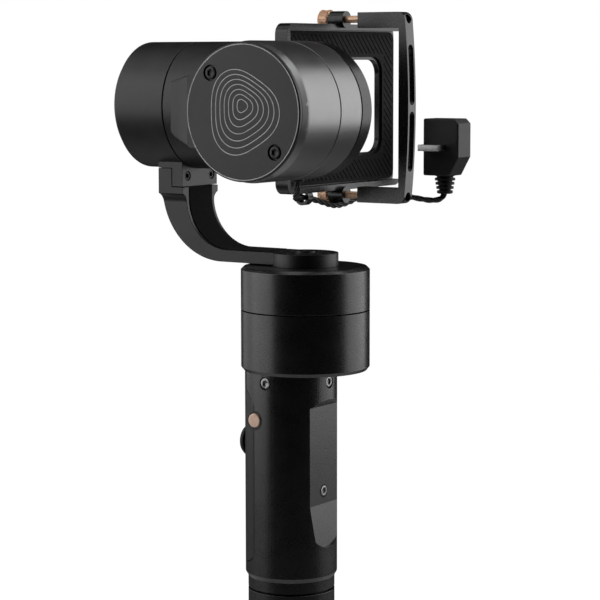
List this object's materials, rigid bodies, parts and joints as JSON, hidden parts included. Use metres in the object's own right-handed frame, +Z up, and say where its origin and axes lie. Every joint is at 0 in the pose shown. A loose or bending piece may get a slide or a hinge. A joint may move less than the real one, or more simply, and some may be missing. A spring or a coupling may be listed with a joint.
{
  "type": "gimbal stabilizer",
  "caption": "Handheld camera stabilizer: tube grip with a tail thread, control section, motors on curved arms for yaw, roll and tilt, and a clamping camera cage.",
  "frame": {"origin": "centre of the tripod thread's mouth, in the flat end of the tail cap, on the handle's axis", "axes": "+Z up the handle, -Y the way the camera looks, -X the side of the tilt motor"},
  "size_m": [0.102, 0.0962, 0.2847],
  "materials": {
    "black_anodised": "satin bead-blasted black anodised aluminium",
    "cap_face": "fine matt dark grey anodised face",
    "black_plastic": "moulded black plastic, light texture",
    "gloss_black": "smooth black plastic",
    "black_rubber": "soft matt black rubber",
    "copper_anodised": "satin copper coloured anodising",
    "gold_knurl": "turned and knurled, gold copper coloured",
    "screw_steel": "plain socket head screws",
    "screw_black": "black oxide socket head screws",
    "shaft_steel": "ground steel",
    "magnet": "nickel plated magnet",
    "winding": "enamelled copper wire on a laminated core",
    "board": "green solder mask",
    "battery_wrap": "blue shrink wrap",
    "led_clear": "frosted light pipe",
    "wire_black": "silicone covered wire"
  },
  "bodies": {
    "handle": {"handle_shell": "black_anodised", "control_cover": "black_plastic", "grip_tube": "black_anodised", "battery_liner": "black_plastic", "battery_cells": "battery_wrap", "top_contact": "shaft_steel", "inner_chassis": "black_plastic", "controller_board": "board", "controller_chips": "gloss_black", "joystick_base": "gloss_black", "button_bezel": "gloss_black", "usb_port": "shaft_steel", "led_lens": "led_clear", "handle_screws": "screw_steel", "yaw_stator_housing": "black_anodised", "yaw_winding": "winding", "yaw_bearings": "shaft_steel", "slip_ring": "gloss_black"},
    "yaw_assembly": {"yaw_rotor_bell": "black_anodised", "yaw_magnets": "magnet", "yaw_shaft": "shaft_steel", "yaw_arm": "black_anodised", "wire_strip": "black_rubber", "arm_wires": "wire_black", "hub_screws": "screw_black", "foot_screws": "screw_black", "roll_stator_housing": "black_anodised", "roll_winding": "winding", "roll_bearings": "shaft_steel", "roll_back_cap": "cap_face", "roll_cap_screws": "screw_black"},
    "roll_assembly": {"roll_rotor_bell": "black_anodised", "roll_magnets": "magnet", "roll_shaft": "shaft_steel", "roll_bridge": "black_anodised", "tilt_stator_housing": "black_anodised", "tilt_winding": "winding", "tilt_bearings": "shaft_steel", "tilt_cap": "cap_face", "tilt_cap_screws": "screw_black"},
    "camera_cage": {"tilt_rotor_bell": "black_anodised", "tilt_magnets": "magnet", "tilt_shaft": "shaft_steel", "cage_frame": "black_anodised", "grip_pad": "black_rubber", "camera_lead": "wire_black", "lead_grommet": "black_rubber", "lead_boot": "black_rubber", "lead_plug": "black_plastic", "plug_tongue": "shaft_steel"},
    "clamp": {"clamp_bar": "black_anodised"},
    "top_thumbscrew": {"thumbscrew_top": "gold_knurl"},
    "bottom_thumbscrew": {"thumbscrew_bottom": "gold_knurl"},
    "side_button": {"power_button": "copper_anodised"},
    "stick_ring": {"joystick_ring": "gloss_black"},
    "stick": {"joystick_stick": "gloss_black", "joystick_cap": "black_rubber"},
    "battery_contact": {"tail_contact": "shaft_steel"},
    "screw_cap": {"tail_cap": "black_anodised"}
  },
  "joints": [
    {"name": "yaw_axis", "type": "hinge", "parent": "handle", "child": "yaw_assembly", "pos_m": [0, -0.00495, 0.20095], "axis": [0, 0, 1], "continuous": true},
    {"name": "roll_axis", "type": "hinge", "parent": "yaw_assembly", "child": "roll_assembly", "pos_m": [0, 0.03165, 0.2582], "axis": [0, 1, 0], "range_deg": [-30, 30]},
    {"name": "tilt_axis", "type": "hinge", "parent": "roll_assembly", "child": "camera_cage", "pos_m": [-0.0452, -0.028, 0.2582], "axis": [1, 0, 0], "range_deg": [-160, 160]},
    {"name": "clamp_travel", "type": "slide", "parent": "camera_cage", "child": "clamp", "axis": [0, 1, 0], "range_m": [-0.003, 0.004]},
    {"name": "top_screw_turn", "type": "hinge", "parent": "camera_cage", "child": "top_thumbscrew", "pos_m": [-0.004, -0.0148, 0.2822], "axis": [0, -1, 0], "range_deg": [-2700, 3600]},
    {"name": "bottom_screw_turn", "type": "hinge", "parent": "camera_cage", "child": "bottom_thumbscrew", "pos_m": [-0.004, -0.0148, 0.2342], "axis": [0, -1, 0], "range_deg": [-2700, 3600]},
    {"name": "button_press", "type": "slide", "parent": "handle", "child": "side_button", "axis": [1, 0, 0], "range_m": [0, 0.0005], "stiffness_N_per_m": 2000},
    {"name": "stick_up_down", "type": "hinge", "parent": "handle", "child": "stick_ring", "pos_m": [0, 0.0074, 0.1615], "axis": [1, 0, 0], "range_deg": [-10, 10], "stiffness_Nm_per_rad": 0.05},
    {"name": "stick_left_right", "type": "hinge", "parent": "stick_ring", "child": "stick", "pos_m": [0, 0.0074, 0.1615], "axis": [0, 0, 1], "range_deg": [-10, 10], "stiffness_Nm_per_rad": 0.05},
    {"name": "cap_travel", "type": "slide", "parent": "handle", "child": "battery_contact", "axis": [0, 0, -1], "range_m": [0, 0.006]},
    {"name": "cap_turn", "type": "hinge", "parent": "battery_contact", "child": "screw_cap", "pos_m": [0, 0, 0.01], "axis": [0, 0, -1], "range_deg": [0, 1440]}
  ],
  "couplings": [
    {"joint": "top_screw_turn", "follows": "clamp_travel", "rad_per_m": 15708},
    {"joint": "bottom_screw_turn", "follows": "clamp_travel", "rad_per_m": 15708},
    {"joint": "cap_turn", "follows": "cap_travel", "rad_per_m": 4188.8}
  ]
}
